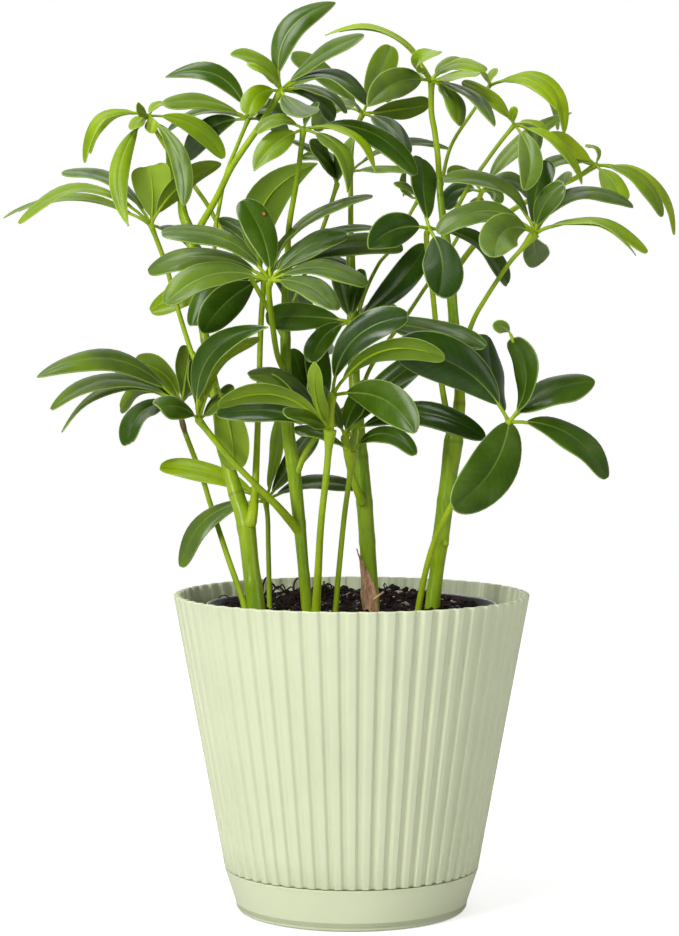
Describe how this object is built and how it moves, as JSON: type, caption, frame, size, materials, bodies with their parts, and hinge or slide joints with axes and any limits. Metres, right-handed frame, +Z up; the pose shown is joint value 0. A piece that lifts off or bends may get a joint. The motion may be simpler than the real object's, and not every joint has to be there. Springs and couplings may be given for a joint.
{
  "type": "potted umbrella plant",
  "caption": "Umbrella plant with upright stems and umbrella-like compound leaves, in soil in a fluted pale green pot with a clipped-on saucer.",
  "frame": {"origin": "centre of the saucer's underside, on the pot's axis", "axes": "+Z up along the pot's axis, -Y towards the front of the plant as pictured, +X to its right"},
  "size_m": [0.3072, 0.1719, 0.4083],
  "materials": {
    "sage_plastic": "smooth moulded pale sage-green plastic with a soft sheen",
    "black_plastic": "thin black moulded plastic",
    "soil": "dark moist peat mix with bark, chips and perlite",
    "stem": "smooth yellow-green bark with pale dots and leaf scars",
    "leaf": "waxy dark green leaf with a pale midrib and margin",
    "young_leaf": "thin bright yellow-green young leaf"
  },
  "bodies": {
    "root": {"saucer": "sage_plastic", "pot": "sage_plastic", "nursery_pot": "black_plastic", "soil": "soil", "stem_a": "stem", "stem_b": "stem", "stem_c": "stem", "stem_d": "stem", "leaf_a1": "leaf", "leaf_a2": "leaf", "leaf_a3": "leaf", "leaf_a4": "leaf", "leaf_b1": "leaf", "leaf_b2": "leaf", "leaf_b3": "leaf", "leaf_b4": "young_leaf", "leaf_b5": "leaf", "leaf_b6": "leaf", "leaf_c1": "leaf", "leaf_c2": "leaf", "leaf_c3": "leaf", "leaf_c4": "leaf", "leaf_c5": "leaf", "leaf_c6": "leaf", "leaf_d1": "leaf", "leaf_d2": "leaf", "leaf_d3": "leaf", "leaf_d4": "leaf", "leaf_d5": "leaf", "leaf_d6": "leaf", "base_leaf_1": "leaf", "base_leaf_2": "leaf", "base_leaf_3": "leaf", "base_leaf_4": "leaf", "base_leaf_5": "leaf"}
  },
  "joints": []
}
